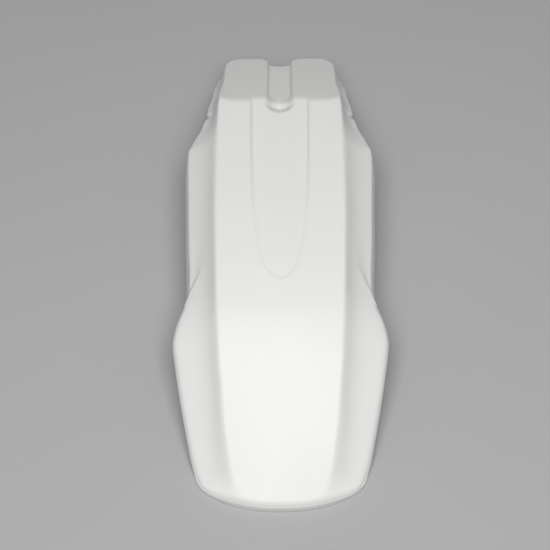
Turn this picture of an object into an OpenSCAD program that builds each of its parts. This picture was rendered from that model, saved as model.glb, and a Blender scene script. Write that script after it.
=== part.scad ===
// Supermoto front fender, one moulded polypropylene shell of constant wall.
// Frame: +Z up, z = 0 is the plane it rests on (nose rim and tail rims),
// the nose points to -Y, x = 0 is the middle plane, origin under the
// middle of the length. All sizes in mm, all angles in degrees.
// Heights and widths along the body are given at shares of the length,
// 0 at the nose tip and 1 at the rear end.

/* [Overall] */
// length from the nose tip to the rear end of the clamp seat
body_len = 528; // [480:1:580]
// greatest height of the deck above the rest plane, beside its sunken panel
deck_h = 87; // [80:1:98]
// wall thickness of the moulding
wall = 2.6; // [2.2:0.1:3.2]

/* [Deck] */
// deck width over its two edges, at its widest
deck_w = 124.8; // [114:0.2:132]
// deck width left at the nose tip, as a share of deck_w
deck_nose = 0.68; // [0.55:0.01:0.75]
// crown of the deck between its edges
deck_crown = 1.8; // [0.5:0.1:4]
// softness of the deck edges, height of the blend
edge_soft = 4.5; // [3:0.1:7]

/* [Nose flange] */
// greatest width of the nose flange, at its rear corners
flange_w = 200.4; // [188:0.2:216]
// share of the length at which the flange is widest
flange_at = 0.281; // [0.26:0.001:0.3]
// depth of the turned down rim of the flange
lip_h = 6.8; // [6:0.1:9]
// sweep of the front edge, from its middle back to its corner
front_sweep = 30; // [20:1:36]
// step from the flange down to the flank behind it
flange_step = 2.6; // [0.5:0.1:3]

/* [Side skirts] */
// width over the outer corners of the flanks at the rear of the skirts
skirt_w = 186.6; // [178:0.2:194]
// depth of a skirt below its corner
skirt_d = 26.5; // [16:0.5:30]
// outward slope of a skirt, width gained for each mm of depth
skirt_draft = 0.16; // [0.05:0.01:0.3]
// share of the length at which the skirts end behind
skirt_end = 0.703; // [0.69:0.001:0.71]
// depth of the edge left along the fork cut behind the skirts
cut_lip = 5; // [4.6:0.1:6.4]

/* [Clamp seat] */
// length of the sloping clamp seat behind the crease
seat_len = 116; // [100:1:124]
// height of the rear end of the seat above the rest plane
seat_end_h = 26.2; // [24:0.1:34]
// width over the foot lips beside the seat
seat_w = 152.6; // [146:0.2:158]
// width in plan of each side wall of the seat, from its top edge to the foot lip
seat_wall_w = 13.9; // [12:0.1:16]
// depth of the rims along the foot of the seat walls
foot_lip = 8.4; // [7.4:0.1:10]
// rounding in plan of the outer rear corners of the seat, along its length
seat_corner = 25; // [12:0.5:30]
// distance by which the rear edge is set back between the two seat lobes
seat_notch = 7.5; // [3:0.5:10]
// bend of the crease towards the seat, beside the channel and at the deck edges
crease_arc = 2.5; // [0:0.5:6]

/* [Stem channel] */
// width of the channel at the seat surface
channel_w = 28.4; // [25:0.2:33]
// width of its shallow floor
channel_floor = 18; // [13:0.2:21]
// depth of the channel
channel_d = 7.8; // [4:0.1:9]

/* [Deck panel] */
// width of the sunken panel at the crease
panel_w = 57.8; // [50:0.2:64]
// share of the length at which the panel comes to its point
panel_tip = 0.365; // [0.34:0.001:0.38]
// depth of the panel below the deck
panel_d = 1.3; // [0.4:0.1:1.6]

/* [Hidden] */
y_front = -body_len/2;
y_rear = body_len/2;
y_crease = y_rear - seat_len;
crease_h = 0.971*deck_h;
seat_rise = (crease_h - seat_end_h)/seat_len;
nose_round = 4.5;        // rounding of the rim of the nose
rear_round = 3.5;        // rounding of the rear end of the seat
corner_round = 1.8;      // rounding of the flank corners
front_draft = 0.08;      // slope of the front and rear rims
steep = 2;               // most the wall is deepened on a steep side
rim_reach = 30;          // length over which rows close up at an end
bend_reach = 75;         // length over which the bent front rows straighten
corner_reach = 60;       // length over which the bent rear rows straighten
corner_from = 0.575;     // where the rounding of the seat corners starts, in shares of seat_half
corner_run = 0.2;        // and how far across it runs
notch_to = 0.365;        // where the notch between the seat lobes ends, in shares of seat_half
notch_run = 0.21;        // and how far across it runs
crease_soft = 1.6;       // softness of the crease, height of the blend
channel_soft = 9;        // the same where the channel crosses it
foot_soft = 2;           // softness of the corner where the foot turns level
panel_edge = 4.6;        // width of the sloping edge of the panel
step_edge = 2;           // width of the slope of the flange step
step_start = 12;         // distance over which the step grows from the flank
arc_inner = 30;          // distance from the middle where the crease starts to bend inside
arc_outer = 50;          // and outside
arc_run = [16, 13];      // distances over which it bends, inside and outside
arc_fade = [42, 36];     // the bend is gone this far behind the crease, and fades over
grad_step = 0.5;         // distance between points compared for a slope
crown_most = 4;          // most that the crown grows beyond the deck edge
seat_half = 0.5*seat_w;
skirt_half = 0.5*skirt_w;
flange_half = 0.5*flange_w;

function clamp(t) = min(1, max(0, t));
function sstep(t) = let (c = clamp(t)) c*c*(3 - 2*c);
// larger of two heights with the corner between them blended over k
function smax(a, b, k) = let (h = max(k - abs(a - b), 0)/k) max(a, b) + h*h*k/4;
function share(y) = (y - y_front)/body_len;
function pos(f) = y_front + f*body_len;

// smooth curve through knots [share, value], flat where the knots turn
function rise(p, i) = (p[i + 1][1] - p[i][1])/(p[i + 1][0] - p[i][0]);
function lean(p, i) =
    i == 0 ? rise(p, 0) : i == len(p) - 1 ? rise(p, i - 1)
    : let (a = rise(p, i - 1), b = rise(p, i)) a*b <= 0 ? 0 : 2*a*b/(a + b);
function seek(p, x, i = 0) = (i >= len(p) - 2 || x < p[i + 1][0]) ? i : seek(p, x, i + 1);
function curve(p, x0) =
    let (x = max(p[0][0], min(p[len(p) - 1][0], x0)), i = seek(p, x),
         h = p[i + 1][0] - p[i][0], t = (x - p[i][0])/h)
    (2*t*t*t - 3*t*t + 1)*p[i][1] + (t*t*t - 2*t*t + t)*h*lean(p, i)
    + (3*t*t - 2*t*t*t)*p[i + 1][1] + (t*t*t - t*t)*h*lean(p, i + 1);

// deck height along the middle, in shares of deck_h
deck_line = [[-0.03, 0.04], [0, 0.126], [0.041, 0.247], [0.102, 0.431], [0.168, 0.609],
    [0.247, 0.787], [0.323, 0.902], [0.418, 0.971], [0.54, 1], [0.663, 0.994], [0.78, 0.971],
    [0.88, 0.94]];
function scaled(p, w) = [for (k = p) [k[0], k[1]*w]];
function moved(p, f) = [for (k = p) [f + k[0], k[1]]];
// half width of the deck, in shares of half deck_w, then of the top of the seat
deck_side = concat(
    scaled([[0, deck_nose], [0.041, deck_nose + 0.055], [0.067, 0.773], [0.096, 0.804],
        [0.128, 0.838], [0.16, 0.856], [0.193, 0.872], [0.224, 0.898], [0.257, 0.913],
        [0.292, 0.926], [0.327, 0.938], [0.366, 0.952], [0.446, 0.972], [0.536, 0.996],
        [0.628, 1.002], [0.709, 1.002], [0.79, 1.001]], 0.5*deck_w),
    scaled([[0.819, 1.006], [0.838, 0.99], [0.861, 0.966], [0.89, 0.952], [0.93, 0.952],
        [0.96, 0.95], [1, 0.945]], seat_half - seat_wall_w));
// outline in plan, in shares of the half widths: flange, then flanks, then foot lips
flange_line = concat([[0, 0.697], [0.048, 0.753], [0.086, 0.812], [0.117, 0.849], [0.181, 0.918]],
    moved([[-0.03, 0.981], [-0.011, 0.995], [0, 1], [0.01, 0.995], [0.021, 0.985], [0.038, 0.963],
        [0.057, 0.927]], flange_at));
flank_line = concat(moved([[0.076, 0.957], [0.088, 0.935], [0.1, 0.929]], flange_at),
    [[0.4, 0.929], [0.486, 0.954], [0.574, 0.975]],
    moved([[-0.021, 1], [-0.006, 0.997], [0.004, 0.977], [0.025, 0.932]], skirt_end),
    [[0.754, 0.871], [0.779, 0.833]]);
foot_line = [[0.789, 0.97], [0.795, 0.974], [0.801, 0.991], [0.815, 0.991], [0.834, 0.983],
    [0.873, 0.955], [0.894, 0.945], [0.915, 0.94], [0.938, 0.916], [0.958, 0.9], [1, 0.845]];
outline = concat(scaled(flange_line, flange_half), scaled(flank_line, skirt_half),
    scaled(foot_line, seat_half));
// height of the outline, in shares of deck_h, from the flat rim of the nose on
side_line = [[0, lip_h/deck_h], [0.053, lip_h/deck_h], [0.088, 0.146], [0.147, 0.276],
    [0.217, 0.42], [0.285, 0.529], [0.368, 0.613], [0.493, 0.657], [0.588, 0.674],
    [0.682, 0.664], [0.781, 0.628], [0.801, 0.609]];
foot_from = 0.801;       // from here the outline falls evenly along the seat
foot_flat = 0.972;       // and from here it lies level, to stand on
// hollow of the flank: how fast it falls beside the deck, and its even part
hollow = [[0, 3.5], [0.06, 4.5], [0.25, 5], [0.323, 4.4], [0.4, 3.6], [0.49, 3.4],
    [0.68, 3.4], [0.777, 3], [0.825, 2.8], [0.915, 2], [1, 1.4]];
even_part = [[0, 0.6], [0.34, 0.6], [0.42, 0.7], [0.68, 0.7], [0.777, 0.35], [0.825, 0.1], [1, 0.2]];
panel_side = [[panel_tip, 0.04], [panel_tip + 0.032, 0.536], [panel_tip + 0.064, 0.685],
    [panel_tip + 0.119, 0.813], [panel_tip + 0.208, 0.934], [panel_tip + 0.314, 0.979],
    [0.78, 1]];

function deck_z(f) = deck_h*curve(deck_line, f);
// how far the crease bends back at x, fading behind it
function crease_shift(x, y) = crease_arc*sstep((y_crease + arc_fade[0] - y)/arc_fade[1])
    *(sstep((arc_inner - x)/arc_run[0]) + sstep((x - arc_outer)/arc_run[1]));
// deck and seat plane, blended at the crease; the deck has lost d to its crown
function mid_z(y, d = 0, shift = 0, k = crease_soft) =
    -smax(d - deck_z(share(y)), seat_rise*(y - y_crease - shift) - crease_h, k);
function deck_x(f) = curve(deck_side, f);
function side_x(f) = curve(outline, f);
function side_z(f) =
    f < foot_from ? deck_h*curve(side_line, f)
    : let (z0 = 0.609*deck_h)
      smax(z0 - (f - foot_from)*(z0 - foot_lip)/(foot_flat - foot_from), foot_lip, foot_soft);
// half width that the panel lines, and the grid lines beside them, follow
function panel_x(f) = 0.5*panel_w*(f > panel_tip ? curve(panel_side, f)
    : 0.04 + 0.6*sstep((panel_tip - f)/0.1));
function soft(f) = edge_soft*(1 + clamp(1 - f/0.2));

// plan of the front edge and of the rear end, as distance from a straight edge
function front_bend(q) = front_sweep*(0.75*pow(q, 2.4) + 0.25*pow(q, 24));
function rear_bend(x) =
    let (q = x/seat_half, out = min(0.98, clamp((q - corner_from)/corner_run)),
         in = clamp((notch_to - q)/notch_run))
    seat_corner*(1 - sqrt(1 - out*out)) + seat_notch*pow(in, 1.6);

// channel of the clamp seat, open behind, with a spoon shaped front end; its
// floor runs smoothly over the crease
function channel(x, y) =
    let (ahead = max(0, y_crease - y), r = 0.5*channel_w, r_floor = 0.4*r,
         rim = norm([x, ahead])/r, floor_at = norm([2*x/channel_floor, ahead/r_floor]),
         s = max(0, 1 - rim)*r, t = max(0, floor_at - 1)*r_floor,
         depth = floor_at <= 1 ? 1 - 0.2*floor_at*floor_at : s <= 0 ? 0 : 0.8*sstep(s/(s + t)))
    depth <= 0 ? 0 : depth*(channel_d + mid_z(y) - mid_z(y, k = channel_soft));

// drop of the step that parts the flange from the flank behind it
function step_drop(x, y) =
    let (f = share(y), lean = 1.9,
         d = (y - pos(flange_at + 0.094) + lean*(x - 0.926*skirt_half))/norm([1, lean]))
    flange_step*sstep((x - 0.76*skirt_half)/step_start)*sstep((f - flange_at)/0.06)
    *sstep((0.5 - f)/0.12)*sstep(d/step_edge + 0.5);

// upper surface of the body over the plan, without its rounded rims
function top(x, y) =
    let (f = share(y), xd = deck_x(f), w = (x - xd)/(side_x(f) - xd),
         p = curve(hollow, f), even = curve(even_part, f), zc = mid_z(y),
         fall = (w >= 0 ? (1 - even)*(1 - pow(1 - min(w, 1), p)) + even*w
            : w*((1 - even)*p + even))*(zc - side_z(f)),
         sunk = sstep((panel_x(f) - x)/panel_edge + 0.5)*sstep((f - panel_tip)/0.01)
            *(0.45 + 0.55*sstep((f - panel_tip)/0.25)),
         lost = deck_crown*min(crown_most, pow(x/xd, 2)) + panel_d*sunk,
         deck = mid_z(y, lost, crease_shift(x, y)))
    -smax(-deck, fall - zc, soft(f)) - step_drop(x, y) - channel(x, y);

// rounding of the rims: drop at a distance from the nearest outline
function round_off(e, r) = r*(1 - sqrt(1 - pow(min(e, 0.94), 2)));
function rims(x, y) =
    let (f = share(y), r = f < 0.35 ? nose_round : corner_round,
         q = x/side_x(front_sweep/body_len),
         ef = f > 0.12 ? 0 : clamp(1 - (y - y_front - front_bend(min(1, q)))/nose_round),
         es = clamp(1 - (side_x(f) - x)/r),
         er = clamp(1 - (y_rear - rear_bend(x) - y)/rear_round))
    round_off(norm([ef, es]), r) + round_off(er, rear_round);
// length of the surface normal for one unit of height, limited on steep sides
function steepness(x, y) =
    let (d = grad_step, gx = (top(x + d, y) - top(x - d, y))/(2*d),
         gy = (top(x, y + d) - top(x, y - d))/(2*d))
    min(steep, norm([gx, gy, 1]));

// rim depth below the outline height
function rim_d(f) = f < 0.5
    ? lip_h + (skirt_d - lip_h)*sstep((f - flange_at - 0.008)/0.11)
    : cut_lip + (skirt_d - cut_lip)*sstep((skirt_end - f)/0.034)
      + (foot_lip - cut_lip)*sstep((f - 0.79)/0.12);

// rows along the body, as distances from the front edge in shares of the length
steps = concat(
    [0, 0.0023, 0.006, 0.0125, 0.023, 0.039],
    [for (f = [0.06:0.024:0.23]) f],
    [for (k = [0:1:15]) flange_at - 0.027 + 0.0083*k],
    [0.4, 0.414, 0.43, 0.45, 0.48, 0.51, 0.54, 0.57, 0.6, 0.63, 0.655, 0.669],
    [for (k = [1:1:4]) skirt_end - 0.034 + 0.0095*k],
    [0.722, 0.737, 0.751, 0.7595]);
// rows of the seat, in shares of its length behind the crease
seat_steps = [-0.056, -0.034, -0.017, 0, 0.017, 0.034, 0.055, 0.085, 0.13, 0.19, 0.27, 0.38, 0.48,
    0.58, 0.68, 0.78, 0.87, 0.93, 0.97, 0.988, 1];
rows = concat(steps, [for (s = seat_steps) 1 - (1 - s)*seat_len/body_len]);
last = len(rows) - 1;
// columns: shares of the panel half width, of the deck beside it, then the flank
panel_cols = [0, 0.17, 0.343, 0.43, 0.52, 0.74, 0.95];
deck_cols = [0, 0.45, 1];
flank_cols = [0, 0.2, 0.42, 0.7, 1];
beside_panel = 1.6;      // first column outside the panel
before_edge = [4, 1];    // last columns inside the deck edge
past_edge = 2.5;         // first column on the flank
near_rim = [3.2, 1.2];   // last columns before the outline
side = len(panel_cols) + len(deck_cols) + 1 + len(flank_cols) + 2 - 1;

// distance across the body of column k in a row at share f
function across(k, f, xd, xo) =
    let (np = len(panel_cols), nd = np + len(deck_cols), nf = nd + 1 + len(flank_cols),
         px = panel_x(f), x0 = px + beside_panel, x1 = xd - before_edge[0], w = xo - xd,
         g0 = xd + min(past_edge, 0.25*w), g1 = xo - min(near_rim[0], 0.3*w))
    k < np ? panel_cols[k]*px
    : k < nd ? x0 + deck_cols[k - np]*(x1 - x0)
    : k == nd ? xd - before_edge[1]
    : k < nf ? g0 + flank_cols[k - nd - 1]*(g1 - g0)
    : k == nf ? xo - min(near_rim[1], 0.12*w) : xo;
// plan position of row i, column j, inset from the outline by e
function plan(i, j, e) =
    let (s0 = rows[i]*body_len, g = body_len - s0,
         s = s0 + e*clamp(1 - s0/rim_reach) - e*clamp(1 - g/rim_reach),
         bend = pow(clamp(1 - s/bend_reach), 1.5), back = clamp(1 - g/corner_reach),
         fo = (s + front_sweep*bend - 0.8*seat_corner*back)/body_len,
         fd = (s + 0.18*front_sweep*bend)/body_len,
         xo = side_x(fo) - e, x = across(abs(j), s/body_len, deck_x(fd), xo))
    [sign(j)*x, y_front + s + bend*front_bend(x/xo) - back*rear_bend(x)];

function outer(i, j) = let (p = plan(i, j, 0), x = abs(p[0])) [p[0], p[1], top(x, p[1]) - rims(x, p[1])];
function inner(i, j) =
    let (p = plan(i, j, wall), x = abs(p[0])) [p[0], p[1], top(x, p[1]) - wall*steepness(x, p[1])];
// foot of the rim below row i, column j of either skin
function foot(v, i, j) =
    let (f = share(plan(i, side, 0)[1]), at_side = abs(j) == side, way = i == 0 ? -1 : i == last ? 1 : 0,
         z = max(0, at_side ? side_z(f) - rim_d(f) : i == 0 ? 0 : v[2] - foot_lip + 0.5*rear_round),
         dz = side_z(f) - z)
    [v[0] + (at_side ? sign(j)*skirt_draft*dz*(f < 0.3 ? 0.4 : 1) : 0),
     v[1] + way*front_draft*(at_side ? dz : v[2] - z), z];

// the closed skin: upper grid, lower grid and the rim ring between them
cols = 2*side + 1;
grid = (last + 1)*cols;
ring = concat([for (j = [-side:side]) [0, j]], [for (i = [1:last]) [i, side]],
    [for (j = [side - 1:-1:-side]) [last, j]], [for (i = [last - 1:-1:1]) [i, -side]]);
nr = len(ring);
function at(i, j) = i*cols + j + side;
upper = [for (i = [0:last], j = [-side:side]) outer(i, j)];
lower = [for (i = [0:last], j = [-side:side]) inner(i, j)];
rim_out = [for (r = ring) foot(upper[at(r[0], r[1])], r[0], r[1])];
rim_in = [for (k = [0:nr - 1]) let (r = ring[k], v = lower[at(r[0], r[1])], w = foot(v, r[0], r[1]))
    [w[0], w[1], rim_out[k][2]]];
function sheet(o, up) = [for (i = [0:last - 1], j = [-side:side - 1])
    let (p = o + at(i, j), q = o + at(i, j + 1), r = o + at(i + 1, j + 1), s = o + at(i + 1, j))
    each (up ? [[p, s, r], [p, r, q]] : [[p, r, s], [p, q, r]])];
function band(lo, hi) = [for (k = [0:nr - 1])
    let (k2 = (k + 1) % nr) each [[lo[k], hi[k], hi[k2]], [lo[k], hi[k2], lo[k2]]]];
ids = [for (r = ring) at(r[0], r[1])];
ro = [for (k = [0:nr - 1]) 2*grid + k];
ri = [for (k = [0:nr - 1]) 2*grid + nr + k];

module fender_shell() {
    color([0.93, 0.93, 0.92])
    polyhedron(points = concat(upper, lower, rim_out, rim_in),
        faces = concat(sheet(0, true), sheet(grid, false), band(ro, ids), band(ri, ro),
            band([for (v = ids) grid + v], ri)), convexity = 8);
}

fender_shell();
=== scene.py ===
"""Looks of a moulded supermoto front fender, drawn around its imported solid.

The shell is computed as one closed skin: a height over a plan of rows and columns, its wall
below it, and a rounded rim that joins the two. Lengths are metres.
"""
import logging
import math
from dataclasses import dataclass, field
from enum import Enum

import bpy
import numpy as np
from mathutils import Matrix, Vector


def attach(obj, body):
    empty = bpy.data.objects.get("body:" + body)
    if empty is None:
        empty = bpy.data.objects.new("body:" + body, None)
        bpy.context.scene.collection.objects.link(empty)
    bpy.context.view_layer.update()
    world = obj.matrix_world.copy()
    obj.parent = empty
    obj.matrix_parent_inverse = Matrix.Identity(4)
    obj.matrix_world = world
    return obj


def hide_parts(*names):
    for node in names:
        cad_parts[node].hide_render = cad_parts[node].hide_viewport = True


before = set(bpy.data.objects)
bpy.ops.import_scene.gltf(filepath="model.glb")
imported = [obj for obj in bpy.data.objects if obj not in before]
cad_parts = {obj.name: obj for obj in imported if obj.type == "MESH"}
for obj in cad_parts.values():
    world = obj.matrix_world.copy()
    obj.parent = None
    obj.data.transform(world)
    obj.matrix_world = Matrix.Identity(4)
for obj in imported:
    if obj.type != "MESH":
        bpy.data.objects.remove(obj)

LOG = logging.getLogger("fender")
Array = np.ndarray
Socket = bpy.types.NodeSocket
Pair = tuple[float, float]
Triple = tuple[float, float, float]
MM = 0.001
TINY = 1e-6
IMAGE_SIDE = 550
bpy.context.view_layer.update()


class Skin(Enum):
    """The two faces of the moulding."""

    UPPER = "upper"
    LOWER = "lower"


class Mask(Enum):
    """Attributes of the mesh that the finish reads."""

    RIM = "rim"
    SLOPE = "slope"
    # Painted shade along the panel lines.
    PANEL_SHADE = "panel_shade"
    UNDER = "under"


# Curves and blends


def blend(t: Array) -> Array:
    """Smooth step of t: 3t^2 - 2t^3 between 0 and 1."""
    c = np.clip(t, 0.0, 1.0)
    return c * c * (3.0 - 2.0 * c)


def soft_max(a: Array, b: Array, k: float | Array) -> Array:
    """Larger of two heights, with the corner between them rounded over k.

    Args:
        a: First height.
        b: Second height.
        k: Difference in height within which the corner is rounded.

    Returns:
        The larger height plus h^2 k / 4, where h falls from 1 to 0 as the heights part by k.
    """
    h = np.clip(k - np.abs(a - b), 0.0, None) / k
    return np.maximum(a, b) + h * h * k / 4.0


def arc_drop(share: Array) -> Array:
    """Drop of a quarter circle of radius 1 at a share of its run: 1 - sqrt(1 - share^2)."""
    return 1.0 - np.sqrt(1.0 - share**2)


def unit(vectors: Array) -> Array:
    """Vectors of length 1 along the given ones."""
    return vectors / np.maximum(np.linalg.norm(vectors, axis=1), TINY)[:, None]


@dataclass(frozen=True)
class Fade:
    """Smooth change between 0 and 1 over a run that begins at a start."""

    start: float
    run: float

    def up(self, value: Array) -> Array:
        """0 up to the start, 1 from a run beyond it."""
        return blend((value - self.start) / self.run)

    def down(self, value: Array) -> Array:
        """0 from the start on, 1 up to a run before it."""
        return blend((self.start - value) / self.run)


@dataclass(frozen=True)
class Line:
    """Smooth line through knots of (share of the length, value), flat where the knots turn."""

    knots: tuple[Pair, ...]

    def __call__(self, share: Array) -> Array:
        """Value at each share: a cubic between knots with harmonic mean slopes at the knots.

        Args:
            share: Places along the body, 0 at the nose and 1 at the rear end.

        Returns:
            The line's value at each place.
        """
        knots = np.array(self.knots)
        x, v = knots[:, 0], knots[:, 1]
        rise = np.diff(v) / np.diff(x)
        lean = np.concatenate([rise[:1], np.zeros(len(x) - 2), rise[-1:]])
        before, after = rise[:-1], rise[1:]
        same = before * after > 0.0
        total = np.where(same, before + after, 1.0)
        lean[1:-1] = np.where(same, 2.0 * before * after / total, 0.0)
        s = np.clip(share, x[0], x[-1])
        i = np.clip(np.searchsorted(x, s, side="right") - 1, 0, len(x) - 2)
        h = x[i + 1] - x[i]
        t = (s - x[i]) / h
        t2, t3 = t * t, t * t * t
        ends = (2.0 * t3 - 3.0 * t2 + 1.0) * v[i] + (3.0 * t2 - 2.0 * t3) * v[i + 1]
        return ends + (t3 - 2.0 * t2 + t) * h * lean[i] + (t3 - t2) * h * lean[i + 1]


def parts_between(places: Array, step: float, least: int) -> Array:
    """Number of equal parts, none much longer than a step, for each gap between rising places."""
    return np.maximum(least, np.ceil(np.diff(places) / step)).astype(int)


def cut(places: Array, parts: Array) -> Array:
    """Cut each gap between places into its own number of equal parts.

    Args:
        places: Rising places.
        parts: Number of parts for each gap.

    Returns:
        The places with the new ones between them.
    """
    owner = np.repeat(np.arange(len(parts)), parts)
    first = np.repeat(np.cumsum(parts) - parts, parts)
    inside = (np.arange(parts.sum()) - first) / parts[owner]
    return np.concatenate([places[owner] + inside * np.diff(places)[owner], places[-1:]])


# The form of the fender


@dataclass(frozen=True)
class FenderForm:
    """Sizes of the fender and the heights and outlines that follow from them.

    Places along the body are shares of its length from the nose, and a fade of such places is
    in shares too.
    """

    # Whole moulding
    body_len: float = 528.0 * MM
    wall: float = 2.6 * MM
    # Deck: its width at the nose is a share, and its edge is softer close to the nose
    deck_h: float = 87.0 * MM
    deck_w: float = 124.8 * MM
    deck_nose: float = 0.68
    deck_crown: float = 1.8 * MM
    crown_limit: float = 4.0
    edge_soft: float = 4.5 * MM
    edge_soft_to: float = 0.2
    # Nose flange and the sweep of its front edge
    flange_w: float = 200.4 * MM
    flange_at: float = 0.281
    lip_h: float = 6.8 * MM
    front_sweep: float = 30.0 * MM
    front_draft: float = 0.08
    sweep_even: float = 0.75
    sweep_power: float = 2.4
    sweep_corner_power: int = 24
    # Diagonal step from the flange to the flank, at shares of half the skirts' width
    flange_step: float = 2.6 * MM
    step_soft: float = 2.0 * MM
    step_behind: float = 0.094
    step_slant: float = 1.9
    step_out: float = 0.926
    step_in: float = 0.76
    step_in_fade: Fade = Fade(0.0, 12.0 * MM)
    step_front_fade: Fade = Fade(0.0, 0.06)
    step_rear_fade: Fade = Fade(0.5, 0.12)
    # Side skirts and the cut edge behind them
    skirt_w: float = 186.6 * MM
    skirt_d: float = 26.5 * MM
    skirt_draft: float = 0.16
    skirt_end: float = 0.703
    skirt_middle: float = 0.5
    skirt_front_fade: Fade = Fade(0.008, 0.11)
    skirt_rear_fade: Fade = Fade(0.0, 0.034)
    cut_lip: float = 5.0 * MM
    cut_fade: Fade = Fade(0.79, 0.12)
    # Clamp seat and its foot lips
    seat_len: float = 116.0 * MM
    seat_end_h: float = 26.2 * MM
    seat_w: float = 152.6 * MM
    foot_lip: float = 8.4 * MM
    foot_from: float = 0.801
    foot_flat: float = 0.972
    foot_top: float = 0.609
    foot_soft: float = 2.0 * MM
    # Rear corners, at shares of half the seat's width, and the notch between the lobes
    seat_corner: float = 25.0 * MM
    corner_from: float = 0.575
    corner_run: float = 0.2
    seat_notch: float = 7.5 * MM
    notch_gain: float = 1.2
    notch_to: float = 24.0 * MM
    notch_run: float = 10.5 * MM
    corner_limit: float = 0.98
    # Crown of the two lobes, at shares of half the deck's width
    seat_pillow: float = 0.5 * MM
    pillow_at: float = 0.5
    pillow_half: float = 0.42
    pillow_fade: Fade = Fade(0.0, 14.0 * MM)
    # Crease: a share of the deck's height, bent back a little at the middle, fully at the sides
    crease_share: float = 0.971
    crease_arc: float = 2.5 * MM
    crease_mid: float = 0.2
    crease_mid_fade: Fade = Fade(30.0 * MM, 16.0 * MM)
    crease_side_fade: Fade = Fade(50.0 * MM, 13.0 * MM)
    crease_rear_fade: Fade = Fade(42.0 * MM, 36.0 * MM)
    # Stem channel: its edge spreads and its floor draws in towards the crease
    channel_w: float = 28.4 * MM
    channel_floor: float = 18.0 * MM
    channel_soft: float = 9.0 * MM
    channel_d: float = 7.8 * MM
    edge_rear: float = 0.97
    edge_spread: float = 0.2
    edge_fade: Fade = Fade(32.0 * MM, 32.0 * MM)
    floor_rear: float = 1.16
    floor_draw: float = 0.68
    floor_fade: Fade = Fade(24.0 * MM, 24.0 * MM)
    floor_ahead: float = 0.4
    floor_dish: float = 0.2
    # Sunken panel: shallow and soft behind its point, deep and sharp at the crease
    panel_w: float = 57.8 * MM
    panel_tip: float = 0.365
    panel_point: float = 0.04
    panel_d: float = 2.1 * MM
    panel_slope: float = 4.6 * MM
    slope_soft: float = 1.1
    slope_gain: float = 0.3
    panel_shallow: float = 0.3
    panel_tip_fade: Fade = Fade(0.0, 0.01)
    panel_deep_fade: Fade = Fade(0.0, 0.33)
    panel_sharp_fade: Fade = Fade(0.08, 0.26)
    panel_ahead: float = 0.6
    panel_ahead_fade: Fade = Fade(0.0, 0.1)
    # Rounded rims, drawn to a share of their quarter circle
    nose_round: float = 4.5 * MM
    nose_round_to: float = 0.35
    front_round_to: float = 0.12
    corner_round: float = 1.8 * MM
    rear_round: float = 3.5 * MM
    round_limit: float = 0.94
    # Reach of the rims' inset, the front's sweep and the rear corners along the body
    rim_reach: float = 30.0 * MM
    bend_reach: float = 75.0 * MM
    corner_reach: float = 60.0 * MM
    # Steepest side that keeps its full wall, and the reach of the slope's test
    steep: float = 2.0
    slope_test: float = 0.5 * MM

    @property
    def y_front(self) -> float:
        """Nose tip."""
        return -self.body_len / 2.0

    @property
    def y_rear(self) -> float:
        """Rear end of the clamp seat."""
        return self.body_len / 2.0

    @property
    def y_crease(self) -> float:
        """Crease between the deck and the clamp seat."""
        return self.y_rear - self.seat_len

    @property
    def crease_h(self) -> float:
        """Height of the crease."""
        return self.crease_share * self.deck_h

    @property
    def deck_line(self) -> Line:
        """Deck height along the middle, in shares of the greatest."""
        return Line(((-0.03, 0.04), (0.0, 0.126), (0.041, 0.247), (0.102, 0.431), (0.168, 0.609),
                     (0.247, 0.787), (0.323, 0.902), (0.418, 0.971), (0.54, 1.0), (0.663, 0.994),
                     (0.78, 0.971), (0.88, 0.94)))

    @property
    def deck_side(self) -> Line:
        """Half width of the deck, in shares of the widest."""
        nose = self.deck_nose
        return Line(((0.0, nose), (0.041, nose + 0.055), (0.067, 0.773), (0.096, 0.804),
                     (0.128, 0.838), (0.16, 0.856), (0.193, 0.872), (0.224, 0.898), (0.257, 0.913),
                     (0.292, 0.926), (0.327, 0.938), (0.366, 0.952), (0.446, 0.972),
                     (0.536, 0.996), (0.628, 1.002), (0.709, 1.002), (0.79, 1.001),
                     (0.819, 1.006), (0.838, 0.99), (0.861, 0.966), (0.89, 0.952), (0.93, 0.952),
                     (0.96, 0.95), (1.0, 0.945)))

    @property
    def outline(self) -> Line:
        """Half width of the plan: flange, then flanks, then the foot lips of the seat.

        Returns:
            The line, each group of knots given in shares of its own half width.
        """
        a, b, c = self.flange_w / 2.0, self.skirt_w / 2.0, self.seat_w / 2.0
        fa, se = self.flange_at, self.skirt_end
        flange = ((0.0, 0.697), (0.048, 0.753), (0.086, 0.812), (0.117, 0.849), (0.181, 0.918),
                  (fa - 0.03, 0.981), (fa - 0.011, 0.995), (fa, 1.0), (fa + 0.01, 0.995),
                  (fa + 0.021, 0.985), (fa + 0.038, 0.963), (fa + 0.057, 0.927))
        flank = ((fa + 0.076, 0.957), (fa + 0.088, 0.935), (fa + 0.1, 0.929), (0.4, 0.929),
                 (0.486, 0.954), (0.574, 0.975), (se - 0.021, 1.0), (se - 0.006, 0.997),
                 (se + 0.004, 0.977), (se + 0.025, 0.932), (0.754, 0.871), (0.779, 0.833))
        foot = ((0.789, 0.97), (0.795, 0.974), (0.801, 0.991), (0.815, 0.991), (0.834, 0.983),
                (0.873, 0.955), (0.894, 0.945), (0.915, 0.94), (0.938, 0.916), (0.958, 0.9),
                (1.0, 0.845))
        groups = ((flange, a), (flank, b), (foot, c))
        return Line(tuple((f, v * w) for knots, w in groups for f, v in knots))

    @property
    def side_line(self) -> Line:
        """Height of the outline ahead of the seat, in shares of the greatest deck height."""
        rest = self.lip_h / self.deck_h
        return Line(((0.0, rest), (0.053, rest), (0.088, 0.146), (0.147, 0.276), (0.217, 0.42),
                     (0.285, 0.529), (0.368, 0.613), (0.493, 0.657), (0.588, 0.674),
                     (0.682, 0.664), (0.781, 0.628), (self.foot_from, self.foot_top)))

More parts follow.
